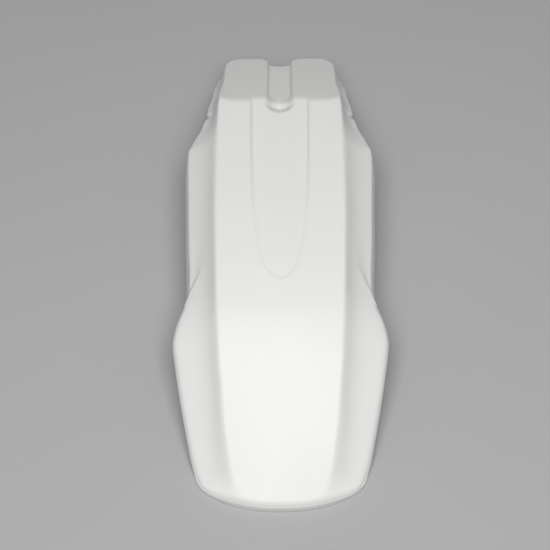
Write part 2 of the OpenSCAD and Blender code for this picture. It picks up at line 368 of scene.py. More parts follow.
    @property
    def hollow(self) -> Line:
        """How fast the flank falls beside the deck."""
        return Line(((0.0, 3.5), (0.06, 4.5), (0.25, 5.0), (0.323, 4.4), (0.4, 3.6), (0.49, 3.4),
                     (0.68, 3.4), (0.777, 3.0), (0.825, 2.8), (0.915, 2.0), (1.0, 1.4)))

    @property
    def even_part(self) -> Line:
        """Share of the flank's fall that is even across it."""
        return Line(((0.0, 0.6), (0.34, 0.6), (0.42, 0.7), (0.68, 0.7), (0.777, 0.35),
                     (0.825, 0.1), (1.0, 0.2)))

    @property
    def panel_side(self) -> Line:
        """Half width of the sunken panel behind its point, in shares of the widest."""
        tip = self.panel_tip
        return Line(((tip, self.panel_point), (tip + 0.032, 0.536), (tip + 0.064, 0.685),
                     (tip + 0.119, 0.813), (tip + 0.208, 0.934), (tip + 0.314, 0.979),
                     (0.78, 1.0)))

    def share(self, y: Array) -> Array:
        """Share of the length at y."""
        return (y - self.y_front) / self.body_len

    def crease_shift(self, x: Array, y: Array) -> Array:
        """How far the crease bends back beside the channel and at the deck's edges."""
        bent = self.crease_mid * self.crease_mid_fade.down(x) + self.crease_side_fade.up(x)
        return self.crease_arc * bent * self.crease_rear_fade.down(y - self.y_crease)

    def middle(self, y: Array, lost: Array | float = 0.0,
               shift: Array | float = 0.0, soft: float = 1.6 * MM) -> Array:
        """Height of the deck and the seat plane, blended at the crease.

        Args:
            y: Places along the body.
            lost: Height that the deck has lost to its crown.
            shift: How far the crease is bent back.
            soft: Softness of the crease.

        Returns:
            The smaller of the deck's curve and the seat's falling plane.
        """
        deck = self.deck_h * self.deck_line(self.share(y)) - lost
        slope = (self.crease_h - self.seat_end_h) / self.seat_len
        seat = self.crease_h - slope * (y - self.y_crease - shift)
        return -soft_max(-deck, -seat, soft)

    def deck_x(self, share: Array) -> Array:
        """Half width of the deck."""
        return self.deck_w / 2.0 * self.deck_side(share)

    def side_z(self, share: Array) -> Array:
        """Height of the outline: the side line, then an even fall to a level foot.

        Args:
            share: Places along the body.

        Returns:
            Height at each place, with the corner at the foot rounded.
        """
        start = self.foot_top * self.deck_h
        fall = (start - self.foot_lip) / (self.foot_flat - self.foot_from)
        level = np.full_like(share, self.foot_lip)
        foot = soft_max(start - (share - self.foot_from) * fall, level, self.foot_soft)
        return np.where(share < self.foot_from, self.deck_h * self.side_line(share), foot)

    def panel_x(self, share: Array) -> Array:
        """Half width that the panel lines, and the columns beside them, follow.

        Args:
            share: Places along the body.

        Returns:
            Half width at each place. Ahead of the panel's point it opens again for the columns.
        """
        ahead = self.panel_ahead * self.panel_ahead_fade.down(share - self.panel_tip)
        half = np.where(share > self.panel_tip, self.panel_side(share), self.panel_point + ahead)
        return self.panel_w / 2.0 * half

    def panel_sharp(self, share: Array) -> Array:
        """How sharp the panel's edge is, from 0 behind its point to 1 at the crease."""
        return self.panel_sharp_fade.up(share - self.panel_tip)

    def front_bend(self, across: Array) -> Array:
        """Sweep back of the front edge: most of it even, the rest close to the corners."""
        even = self.sweep_even * np.abs(across)**self.sweep_power
        return self.front_sweep * (even + (1.0 - self.sweep_even) * across**self.sweep_corner_power)

    def rear_bend(self, x: Array) -> Array:
        """Rounding in plan of the rear corners of the two seat lobes.

        Args:
            x: Distance from the middle.

        Returns:
            How far the rear edge lies ahead of the rear end: a quarter circle's drop at the
            outer corners, and a smaller one at the notch between the lobes.
        """
        c = self.seat_w / 2.0
        outer = np.clip((x - self.corner_from * c) / (self.corner_run * c), 0.0, self.corner_limit)
        inner = np.clip((self.notch_to - x) / self.notch_run, 0.0, self.corner_limit)
        notch = self.notch_gain * self.seat_notch
        return self.seat_corner * arc_drop(outer) + notch * arc_drop(inner)

    def channel(self, x: Array, y: Array) -> Array:
        """Depth of the stem channel: full inside its floor, blended out to its edge.

        The edge spreads towards the crease while the floor draws in, as in a spoon. Both are
        ellipses ahead of the crease, and the wall between them is a smooth step of
        out / (out + in), the distances to the edge and to the floor.

        Args:
            x: Distance from the middle.
            y: Place along the body.

        Returns:
            Depth below the seat.
        """
        ahead = np.clip(self.y_crease - y, 0.0, None)
        behind = y - self.y_crease
        reach = self.channel_w / 2.0
        r = reach * (self.edge_rear + self.edge_spread * self.edge_fade.down(behind))
        draw = self.floor_draw * self.floor_fade.down(behind)
        half = self.channel_floor / 2.0 * (self.floor_rear - draw)
        edge = np.hypot(x / r, ahead / reach)
        floor = np.hypot(x / half, ahead / (self.floor_ahead * reach))
        out = np.clip(1.0 - edge, 0.0, None) * r
        inn = np.clip(floor - 1.0, 0.0, None) * half
        wall = (1.0 - self.floor_dish) * blend(out / (out + inn + TINY))
        return self.channel_d * np.where(floor <= 1.0, 1.0 - self.floor_dish * floor**2, wall)

    def step_drop(self, x: Array, y: Array) -> Array:
        """Drop of the diagonal step that parts the flange from the flank behind it.

        Args:
            x: Distance from the middle.
            y: Place along the body.

        Returns:
            The step's height times a smooth step of the distance behind its slanting line,
            faded out to the front, to the rear and towards the middle.
        """
        f = self.share(y)
        b = self.skirt_w / 2.0
        line = self.y_front + (self.flange_at + self.step_behind) * self.body_len
        d = (y - line) + self.step_slant * (x - self.step_out * b)
        d = d / math.hypot(1.0, self.step_slant)
        size = self.step_in_fade.up(x - self.step_in * b)
        size = size * self.step_front_fade.up(f - self.flange_at)
        size = self.flange_step * size * self.step_rear_fade.down(f)
        return size * blend(d / self.step_soft + 0.5)

    def top(self, x: Array, y: Array) -> Array:
        """Upper surface over the plan, without its rounded rims.

        The deck has a parabolic crown. The flank falls from the deck edge to the outline as
        (1 - m)(1 - (1 - w)^p) + m w, where w runs from 0 to 1 across it, and the lower of the
        two is taken with a soft corner. The panel is sunk into the deck, deeper and with a
        steeper edge towards the crease, and the step and the channel are taken off.

        Args:
            x: Distance from the middle.
            y: Place along the body.

        Returns:
            Height above the rest plane.
        """
        f = self.share(y)
        behind = f - self.panel_tip
        xd = self.deck_x(f)
        w = (x - xd) / (self.outline(f) - xd)
        p, m = self.hollow(f), self.even_part(f)
        centre = self.middle(y)
        out = (1.0 - m) * (1.0 - (1.0 - np.clip(w, 0.0, 1.0))**p) + m * w
        fall = np.where(w >= 0.0, out, w * ((1.0 - m) * p + m)) * (centre - self.side_z(f))
        slope = self.panel_slope * (self.slope_soft - self.slope_gain * self.panel_sharp(f))
        on = blend((self.panel_x(f) - x) / slope + 0.5) * self.panel_tip_fade.up(behind)
        deep = (1.0 - self.panel_shallow) * self.panel_deep_fade.up(behind)
        on = on * (self.panel_shallow + deep)
        crown = self.deck_crown * np.minimum(self.crown_limit, (x / xd)**2)
        deck = self.middle(y, crown + self.panel_d * on, self.crease_shift(x, y))
        soft = self.edge_soft * (1.0 + np.clip(1.0 - f / self.edge_soft_to, 0.0, 1.0))
        lobe = np.clip(1.0 - ((x - self.pillow_at * xd) / (self.pillow_half * xd))**2, 0.0, 1.0)
        lobe = self.seat_pillow * lobe * self.pillow_fade.up(y - self.y_crease)
        body = -soft_max(-deck, fall - centre, soft)
        dip = self.channel(x, y)
        dip = dip * (1.0 + (centre - self.middle(y, soft=self.channel_soft)) / self.channel_d)
        return body - self.step_drop(x, y) + lobe - dip

    def rims(self, x: Array, y: Array) -> Array:
        """Rounding of the rims: a quarter circle's drop near the outline.

        Args:
            x: Distance from the middle.
            y: Place along the body.

        Returns:
            Drop below the unrounded surface.
        """
        f = self.share(y)
        r = np.where(f < self.nose_round_to, self.nose_round, self.corner_round)
        wide = float(self.outline(np.array([self.front_sweep / self.body_len]))[0])
        front = (y - self.y_front - self.front_bend(np.minimum(1.0, x / wide))) / self.nose_round
        ef = np.where(f > self.front_round_to, 0.0, np.clip(1.0 - front, 0.0, 1.0))
        es = np.clip(1.0 - (self.outline(f) - x) / r, 0.0, 1.0)
        back = (self.y_rear - self.rear_bend(x) - y) / self.rear_round
        er = np.clip(1.0 - back, 0.0, self.round_limit)
        e = np.clip(np.hypot(ef, es), 0.0, self.round_limit)
        return r * arc_drop(e) + self.rear_round * arc_drop(er)

    def steepness(self, x: Array, y: Array) -> Array:
        """Length of the surface normal for one unit of height, limited on steep sides.

        Args:
            x: Distance from the middle.
            y: Place along the body.

        Returns:
            sqrt(1 + gx^2 + gy^2) of the two slopes, at most the steepest.
        """
        d = self.slope_test
        gx = (self.top(x + d, y) - self.top(x - d, y)) / (2.0 * d)
        gy = (self.top(x, y + d) - self.top(x, y - d)) / (2.0 * d)
        return np.minimum(self.steep, np.sqrt(gx**2 + gy**2 + 1.0))

    def rim_depth(self, f: Array) -> Array:
        """Depth of the side rims below the outline height: lip, skirt, cut edge, foot lip.

        Args:
            f: Places along the body.

        Returns:
            Depth at each place, with smooth steps between the four.
        """
        lip, skirt = self.lip_h, self.skirt_d
        front = lip + (skirt - lip) * self.skirt_front_fade.up(f - self.flange_at)
        rear = (skirt - self.cut_lip) * self.skirt_rear_fade.down(f - self.skirt_end)
        rear = self.cut_lip + rear + (self.foot_lip - self.cut_lip) * self.cut_fade.up(f)
        return np.where(f < self.skirt_middle, front, rear)


# The mesh of the shell


def add_object(name: str, data: bpy.types.ID) -> bpy.types.Object:
    """Put a mesh, a lamp or a camera into the scene.

    Args:
        name: Name of the object.
        data: The mesh, lamp or camera.

    Returns:
        The object, at the origin.
    """
    obj = bpy.data.objects.new(name, data)
    bpy.context.collection.objects.link(obj)
    return obj


@dataclass
class ShellMesh:
    """Rows and columns of the closed skin and the vertices and faces that they give.

    A zone of the flank is a length, and the share of the flank that it takes up at most.
    """

    form: FenderForm
    # Spacing of rows and columns, and where the rows are twice as close
    row_step: float = 2.6 * MM
    col_step: float = 1.9 * MM
    least_parts: int = 3
    close_rows: Pair = (0.02, 0.12)
    # Half widths of panel, deck and outline in a usual row, and parts set for some zones
    usual_row: Triple = (29.0 * MM, 62.0 * MM, 90.0 * MM)
    set_parts: tuple[tuple[int, int], ...] = ((2, 6), (3, 4), (5, 6))
    # Columns that mark the zones
    panel_shares: tuple[float, ...] = (0.0, 0.3, 0.37, 0.49, 0.57, 0.95)
    panel_margin: float = 1.6 * MM
    deck_margins: Pair = (4.0 * MM, 1.0 * MM)
    deck_zone: Pair = (2.5 * MM, 0.25)
    flank_zone: Pair = (3.2 * MM, 0.3)
    flank_shares: tuple[float, ...] = (0.2, 0.6, 1.0)
    rim_zone: Pair = (1.2 * MM, 0.12)
    # How the rows follow the plan's front and rear edges
    bend_power: float = 1.5
    corner_follow: float = 0.8
    deck_follow: float = 0.18
    # Rim: its draft on the flange, the rings down its sides and its rounded foot
    flange_draft: float = 0.4
    flange_draft_to: float = 0.3
    rim_shares: Pair = (0.33, 0.66)
    rim_turns: int = 4
    rim_edge: float = 0.9 * MM
    # Reach of the masks, and the part of the flange's width that the front edge sweeps over
    wear_reach: float = 5.0 * MM
    # Width of the painted shade along the panel lines.
    panel_shade_reach: float = 2.0 * MM
    sweep_share: float = 0.76
    rows: Array = field(init=False)
    spans: Array = field(init=False)

    def __post_init__(self) -> None:
        """Work out the rows and columns."""
        self.rows = self._rows()
        self.spans = self._columns()

    def _rows(self) -> Array:
        """Rows as shares of the length, close where the form turns quickly.

        Returns:
            Rising shares from 0 to 1.
        """
        form = self.form
        fa, se = form.flange_at, form.skirt_end
        crease = 1.0 - form.seat_len / form.body_len
        marks = np.array([0.0, 0.0012, 0.003, 0.006, 0.0125, 0.03, 0.06, 0.12, fa - 0.03, fa,
                          form.panel_tip - 0.006, form.panel_tip + 0.012, 0.4, se - 0.036, se,
                          crease - 0.034, crease - 0.012, crease - 0.003, crease,
                          crease + 0.003, crease + 0.014, crease + 0.04, 0.94, 0.985, 0.994,
                          0.9975, 1.0])
        marks = marks * form.body_len
        fine = cut(marks, parts_between(marks, self.row_step, self.least_parts)) / form.body_len
        near = (fine[:-1] > fa + self.close_rows[0]) & (fine[:-1] < fa + self.close_rows[1])
        return np.sort(np.concatenate([fine, (0.5 * (fine[:-1] + fine[1:]))[near]]))

    def _columns(self) -> Array:
        """Columns as a running number over the zones of half the body.

        Returns:
            Rising numbers, whole at the marks of the zones.
        """
        wide = self._zones(*(np.array([half]) for half in self.usual_row))[:, 0]
        parts = parts_between(wide, self.col_step, self.least_parts)
        for zone, count in self.set_parts:
            parts[zone] = count
        return cut(np.arange(float(len(wide))), parts)

    def _zones(self, panel: Array, deck: Array, side: Array) -> Array:
        """Distances from the middle of the columns that mark zones.

        Args:
            panel: Half width of the panel in each row.
            deck: Half width of the deck in each row.
            side: Half width of the outline in each row.

        Returns:
            One line of distances per zone mark: across the channel and panel, over the deck,
            round the deck edge, down the flank and round the rim.
        """
        w = side - deck
        edge, foot, rim = (np.minimum(zone[0], zone[1] * w)
                           for zone in (self.deck_zone, self.flank_zone, self.rim_zone))
        near = [share * panel for share in self.panel_shares]
        over = [panel + self.panel_margin] + [deck - margin for margin in self.deck_margins]
        high, low = deck + edge, side - foot
        down = [high] + [high + share * (low - high) for share in self.flank_shares]
        return np.stack(near + over + down + [side - rim, side])

    def plan(self, inset: float) -> tuple[Array, Array, Array]:
        """Plan of every grid point, with the outline drawn in by an inset.

        Args:
            inset: Distance by which the outline is drawn in, the wall for the lower skin.

        Returns:
            Signed x and y of the grid, rows along the first axis, and the outline's share of
            the length in each row.
        """
        form = self.form
        s0 = self.rows * form.body_len
        gap = form.body_len - s0
        front = np.clip(1.0 - s0 / form.rim_reach, 0.0, 1.0)
        s = s0 + inset * (front - np.clip(1.0 - gap / form.rim_reach, 0.0, 1.0))
        bend = np.clip(1.0 - s / form.bend_reach, 0.0, 1.0)**self.bend_power
        back = np.clip(1.0 - gap / form.corner_reach, 0.0, 1.0)
        s_out = s + form.front_sweep * bend - self.corner_follow * form.seat_corner * back
        f_out = s_out / form.body_len
        f_deck = (s + self.deck_follow * form.front_sweep * bend) / form.body_len
        side = form.outline(f_out) - inset
        zones = self._zones(form.panel_x(s / form.body_len), form.deck_x(f_deck), side)
        low = np.clip(self.spans.astype(int), 0, len(zones) - 2)
        part = (self.spans - low)[:, None]
        half = ((1.0 - part) * zones[low] + part * zones[low + 1]).T
        x = np.concatenate([-half[:, :0:-1], half], axis=1)
        size = np.abs(x)
        y = (form.y_front + s)[:, None] + bend[:, None] * form.front_bend(size / side[:, None])
        y = y - back[:, None] * form.rear_bend(size)
        return x, y, f_out

    def surface(self, skin: Skin) -> tuple[Array, Array]:
        """Points of one skin.

        Args:
            skin: Which face of the moulding.

        Returns:
            Points of the grid, and the outline's share of the length in each row.
        """
        form = self.form
        x, y, f_out = self.plan(0.0 if skin is Skin.UPPER else form.wall)
        size = np.abs(x)
        if skin is Skin.UPPER:
            z = form.top(size, y) - form.rims(size, y)
        else:
            z = form.top(size, y) - form.wall * form.steepness(size, y)
        return np.stack([x, y, z], axis=-1), f_out

    def ring(self, rows: int, cols: int) -> Array:
        """Indices of the grid's outer points, once round it.

        Args:
            rows: Number of rows.
            cols: Number of columns.

        Returns:
            Front row, right side, rear row and left side, each point once.
        """
        grid = np.arange(rows * cols).reshape(rows, cols)
        return np.concatenate([grid[0], grid[1:, -1], grid[-1, -2::-1], grid[-2:0:-1, 0]])

    def feet(self, points: Array, top: Array, f_out: Array) -> Array:
        """Foot of the rim under each outer point of a skin.

        Args:
            points: Grid points of the skin.
            top: Grid points of the upper skin, which set the height of the foot.
            f_out: The outline's share of the length in each row.

        Returns:
            Points of the foot in the grid's layout, of which only the outer ones are used.
        """
        form = self.form
        foot = points.copy()
        side = form.side_z(f_out)
        depth = np.maximum(0.0, side - form.rim_depth(f_out))
        foot[0, :, 2] = 0.0
        foot[-1, :, 2] = np.maximum(0.0, top[-1, :, 2] - form.foot_lip + form.rear_round / 2.0)
        draft = form.skirt_draft * (side - depth)
        draft = draft * np.where(f_out < self.flange_draft_to, self.flange_draft, 1.0)
        for col, way in ((0, -1.0), (-1, 1.0)):
            foot[:, col, 2] = depth
            foot[:, col, 0] += way * draft
        for row, way in ((0, -1.0), (-1, 1.0)):
            drop = np.maximum(0.0, points[row, :, 2] - foot[row, :, 2])
            foot[row, :, 1] += way * form.front_draft * drop
        return foot

    def build(self, name: str) -> bpy.types.Object:
        """Make the closed mesh and its masks.

        The upper and lower grids are joined by a rim: down the outside, round a half turn of
        small radius at each lower edge, and up the inside.

        Args:
            name: Name of the object.

        Returns:
            The shell, with its place in its mesh.
        """
        top, f_out = self.surface(Skin.UPPER)
        low, _ = self.surface(Skin.LOWER)
        rows, cols = top.shape[:2]
        ring = self.ring(rows, cols)
        outer = self.feet(top, top, f_out).reshape(-1, 3)[ring]
        inner = self.feet(low, top, f_out).reshape(-1, 3)[ring]
        inner[:, 2] = outer[:, 2]
        rim_a, rim_b = top.reshape(-1, 3)[ring], low.reshape(-1, 3)[ring]
        strips = self._rim_strips(rim_a, outer, inner, rim_b)
        grid = rows * cols
        verts = np.concatenate([top.reshape(-1, 3), low.reshape(-1, 3), strips.reshape(-1, 3)])
        step = len(ring)
        loops = [ring] + [2 * grid + k * step + np.arange(step) for k in range(len(strips))]
        loops.append(grid + ring)
        sheets = [self._sheet(rows, cols, 0, True), self._sheet(rows, cols, grid, False)]
        faces = np.concatenate(sheets + [self._band(a, b) for a, b in zip(loops, loops[1:])])
        mesh = bpy.data.meshes.new(name)
        mesh.vertices.add(len(verts))
        mesh.vertices.foreach_set("co", verts.astype(np.float32).ravel())
        mesh.loops.add(faces.size)
        mesh.loops.foreach_set("vertex_index", faces.astype(np.int32).ravel())
        mesh.polygons.add(len(faces))
        mesh.polygons.foreach_set("loop_start", np.arange(0, faces.size, 4, dtype=np.int32))
        mesh.polygons.foreach_set("use_smooth", np.ones(len(faces), dtype=bool))
        mesh.update(calc_edges=True)
        self._masks(mesh, top, grid, len(verts))
        mesh.validate()
        return add_object(name, mesh)

    def _rim_strips(self, top: Array, outer: Array, inner: Array, low: Array) -> Array:
        """Rings of points from the upper skin's edge down, round the foot and up inside.

        Args:
            top: Edge of the upper skin.
            outer: Outer foot.
            inner: Inner foot.
            low: Edge of the lower skin.

        Returns:
            Rings in order, the foot's edges rounded as quarter circles.
        """
        radius = self.rim_edge
        down, over, up = unit(outer - top), unit(inner - outer), unit(low - inner)
        rings = [top + share * (outer - down * radius - top) for share in self.rim_shares]
        for corner, come, go in ((outer, -down, over), (inner, -over, up)):
            for turn in np.linspace(0.0, math.pi / 2.0, self.rim_turns):
                rings.append(corner + come * radius * (1.0 - math.sin(turn))
                             + go * radius * (1.0 - math.cos(turn)))
        last = inner + up * radius
        rings += [last + share * (low - last) for share in self.rim_shares]
        return np.stack(rings)

    @staticmethod
    def _sheet(rows: int, cols: int, first: int, upward: bool) -> Array:
        """Quads of a grid of points.

        Args:
            rows: Number of rows.
            cols: Number of columns.
            first: Index of the grid's first point.
            upward: Whether the quads face up.

        Returns:
            Four indices for each quad.
        """
        grid = first + np.arange(rows * cols).reshape(rows, cols)
        a, b = grid[:-1, :-1].ravel(), grid[:-1, 1:].ravel()
        c, d = grid[1:, 1:].ravel(), grid[1:, :-1].ravel()
        return np.stack([a, b, c, d] if upward else [a, d, c, b], axis=1)

    @staticmethod
    def _band(upper: Array, lower: Array) -> Array:
        """Quads between two closed rings of points."""
        return np.stack([upper, lower, np.roll(lower, -1), np.roll(upper, -1)], axis=1)

    def _masks(self, mesh: bpy.types.Mesh, top: Array, grid: int, total: int) -> None:
        """Store the rims, slopes, underside and the panel lines' painted shade, for the finish.

        Args:
            mesh: The shell's mesh.
            top: Grid points of the upper skin.
            grid: Number of points in a grid.
            total: Number of points in the mesh.
        """
        form = self.form
        x, y = np.abs(top[..., 0]), top[..., 1]
        f = form.share(y)
        edge = np.minimum(form.outline(f) - x, form.y_rear - y)
        across = np.minimum(1.0, x / (self.sweep_share * form.flange_w / 2.0))
        edge = np.minimum(edge, y - form.y_front - form.front_bend(across))
        rim = np.exp(-np.clip(edge, 0.0, None) / self.wear_reach).ravel()
        slope = np.clip(form.steepness(x, y) - 1.0, 0.0, 1.0).ravel()
        # Painted shade: a band along the panel's edge, darkest where the edge is sharp, only ahead
        # of the crease.
        panel_shade = np.exp(-((form.panel_x(f) - x) / self.panel_shade_reach)**2)
        panel_shade = (form.panel_sharp(f) * panel_shade * (y < form.y_crease)).ravel()
        rest = total - 2 * grid
        values = {Mask.RIM: (rim, rim, np.ones(rest)),
                  Mask.SLOPE: (slope, slope, np.zeros(rest)),
                  Mask.PANEL_SHADE: (panel_shade, np.zeros(grid), np.zeros(rest)),
                  Mask.UNDER: (np.zeros(grid), np.ones(grid), np.zeros(rest))}
        for mask, shares in values.items():
            layer = mesh.attributes.new(mask.value, "FLOAT", "POINT")
            layer.data.foreach_set("value", np.concatenate(shares).astype(np.float32))


# Finishes


@dataclass
class NodePen:
    """Short way to add and join nodes in one tree."""

    tree: bpy.types.NodeTree

    def give(self, value: object, into: Socket) -> None:
        """Link an output to an input, or set the input to a plain value.

        Args:
            value: An output socket, a number, or three numbers, for a colour too.
            into: The input.
        """
        if isinstance(value, Socket):
            self.tree.links.new(value, into)
        else:
            into.default_value = (*value, 1.0) if into.type == "RGBA" else value

    def add(self, kind: str, inputs: dict[str | int, object] | None = None,
            **settings: object) -> bpy.types.Node:
        """Add a node.

        Args:
            kind: Type of the node.
            inputs: Outputs or plain values for its inputs, by name or by number.
            **settings: Properties of the node.

        Returns:
            The node.
        """
        node = self.tree.nodes.new(kind)
        for key, value in settings.items():
            setattr(node, key, value)
        for key, value in (inputs or {}).items():
            self.give(value, node.inputs[key])
        return node

    def math(self, operation: str, *values: object, clamp: bool = False) -> Socket:
        """A math node on sockets or numbers.

        Args:
            operation: Name of the operation.
            *values: One or two sockets or numbers.
            clamp: Whether the result is kept between 0 and 1.

        Returns:
            The node's output.
        """
        node = self.add("ShaderNodeMath", dict(enumerate(values)), operation=operation,
                        use_clamp=clamp)
        return node.outputs[0]

    def remap(self, value: Socket, low: float, high: float,
              to_low: float = 0.0, to_high: float = 1.0) -> Socket:
        """Map a range of a value onto another, held at its ends.

        Args:
            value: The value.
            low: Start of its range.
            high: End of its range.
            to_low: Result at the start.
            to_high: Result at the end.

        Returns:
            The mapped value.
        """
        inputs = dict(enumerate((value, low, high, to_low, to_high)))
        return self.add("ShaderNodeMapRange", inputs, clamp=True).outputs[0]

    def mix(self, share: Socket, a: object, b: object) -> Socket:
        """Mix two colours, each a socket or a plain colour.

        Args:
            share: Share of the second colour.
            a: First colour.
            b: Second colour.

        Returns:
            The mixed colour.
        """
        colour_a, colour_b, colour_out = 6, 7, 2
        node = self.add("ShaderNodeMix", {0: share, colour_a: a, colour_b: b}, data_type="RGBA")
        return node.outputs[colour_out]

    def noise(self, vector: Socket, scale: object, detail: float,
              roughness: float, distortion: float = 0.0) -> Socket:
        """Noise texture.

        Args:
            vector: Where it is read.
            scale: Its scale, a socket or a number.
            detail: Number of finer layers.
            roughness: Strength of each finer layer.
            distortion: How much it is warped.

        Returns:
            Its value, about 0.5 on average.
        """
        node = self.add("ShaderNodeTexNoise", {
            "Vector": vector, "Scale": scale, "Detail": detail, "Roughness": roughness,
            "Distortion": distortion})
        return node.outputs[0]


def new_group(name: str, inputs: dict[str, float | None],
              outputs: tuple[str, ...]) -> tuple[NodePen, bpy.types.Node, bpy.types.Node]:
    """Start a shader node group with its sockets.

    Args:
        name: Name of the group.
        inputs: Inputs by name: the default of a number, or None for a vector.
        outputs: Names of the outputs, which are numbers.

    Returns:
        A pen for the group, its input node and its output node.
    """
    number = "NodeSocketFloat"
    group = bpy.data.node_groups.new(name, "ShaderNodeTree")
    for title, value in inputs.items():
        kind = "NodeSocketVector" if value is None else number
        item = group.interface.new_socket(name=title, in_out="INPUT", socket_type=kind)
        if value is not None:
            item.default_value = value
    for title in outputs:
        group.interface.new_socket(name=title, in_out="OUTPUT", socket_type=number)
    pen = NodePen(group)
    return pen, pen.add("NodeGroupInput"), pen.add("NodeGroupOutput")


@dataclass(frozen=True)
class MouldedGrain:
    """Fine grain of a moulded face: two sizes of noise as a height, and a slow tone drift."""

    grain_size: float = 900.0
    drift_size: float = 9.0
    coarse: float = 0.16
    fine_share: float = 0.4
    coarse_share: float = 0.6
    drift_stretch: Triple = (1.0, 0.35, 1.0)
    drift_warp: float = 0.6

    def group(self) -> bpy.types.NodeTree:
        """Build the node group.

        Returns:
            A group from a vector to a height and a drift.
        """
        sizes = {"Vector": None, "Grain Size": self.grain_size, "Drift Size": self.drift_size}
        pen, start, end = new_group("moulded_grain", sizes, ("Height", "Drift"))
        place, size = start.outputs["Vector"], start.outputs["Grain Size"]
        fine = pen.noise(place, size, detail=2.0, roughness=0.6)
        wider = pen.math("MULTIPLY", size, self.coarse)
        coarse = pen.noise(place, wider, detail=1.0, roughness=0.5)
        height = pen.math("ADD", pen.math("MULTIPLY", fine, self.fine_share),
                          pen.math("MULTIPLY", coarse, self.coarse_share))
        flow = pen.add("ShaderNodeMapping", {"Vector": place, "Scale": self.drift_stretch})
        drift = pen.noise(flow.outputs[0], start.outputs["Drift Size"], detail=3.0,
                          roughness=0.55, distortion=self.drift_warp)
        pen.give(height, end.inputs["Height"])
        pen.give(drift, end.inputs["Drift"])
        return pen.tree


@dataclass(frozen=True)
class HairlineScuffs:
    """Sparse hairline scuffs: thin bands of stretched noise, kept where a slow noise is high."""

    size: float = 14.0
    amount: float = 0.5
    ways: tuple[Pair, ...] = ((0.35, 26.0), (-0.9, 34.0), (1.4, 22.0))
    line_width: float = 0.006
    patch_size: float = 1.3
    patch_range: Pair = (0.58, 0.7)

    def group(self) -> bpy.types.NodeTree:
        """Build the node group; each way is a turn in radians and a stretch.

        Returns:
            A group from a vector to a mask.
        """
        sizes = {"Vector": None, "Size": self.size, "Amount": self.amount}
        pen, start, end = new_group("hairline_scuffs", sizes, ("Mask",))
        place, size = start.outputs["Vector"], start.outputs["Size"]
        lines = []
        for turn, stretch in self.ways:
            way = pen.add("ShaderNodeMapping", {
                "Vector": place, "Rotation": (0.0, 0.0, turn), "Scale": (stretch, 1.0, 1.0)})
            noise = pen.noise(way.outputs[0], size, detail=1.0, roughness=0.4)
            off = pen.math("ABSOLUTE", pen.math("SUBTRACT", noise, 0.5))
            lines.append(pen.remap(off, 0.0, self.line_width, to_low=1.0, to_high=0.0))
        wider = pen.math("MULTIPLY", size, self.patch_size)
        patches = pen.noise(place, wider, detail=1.0, roughness=0.5)
        total = pen.math("MAXIMUM", pen.math("MAXIMUM", lines[0], lines[1]), lines[2])
        total = pen.math("MULTIPLY", total, pen.remap(patches, *self.patch_range))
        mask = pen.math("MULTIPLY", total, start.outputs["Amount"], clamp=True)
        pen.give(mask, end.inputs["Mask"])
        return pen.tree


